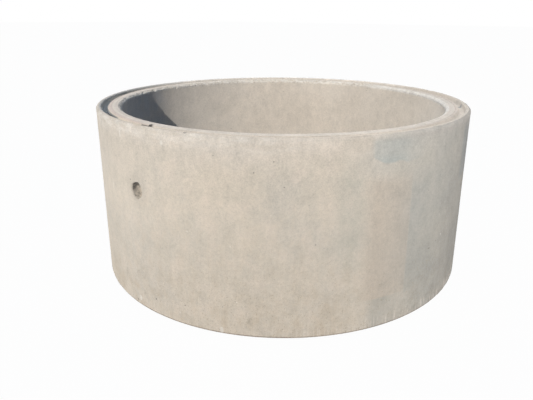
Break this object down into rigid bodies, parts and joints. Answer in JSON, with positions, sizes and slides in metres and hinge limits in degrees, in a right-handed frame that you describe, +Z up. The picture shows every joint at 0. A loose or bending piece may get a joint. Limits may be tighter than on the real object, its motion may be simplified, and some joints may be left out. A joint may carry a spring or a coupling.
{
  "type": "concrete manhole ring",
  "caption": "Precast concrete shaft ring standing on end, with a plain round wall, a grooved top end, a tongued bottom end and blind lifting pockets, for stacking into a culvert or manhole shaft.",
  "frame": {"origin": "centre of the ring's axis at the end of the tongue, which is what the ring stands on", "axes": "+Z up the axis of the ring towards its grooved end; the lifting pockets lie on the X axis"},
  "size_m": [1.71, 1.7096, 0.765],
  "materials": {
    "concrete": "matt cast concrete, warm beige grey, finely pored, with draw streaks and a whiter worn top edge"
  },
  "bodies": {
    "root": {"ring": "concrete"}
  },
  "joints": []
}
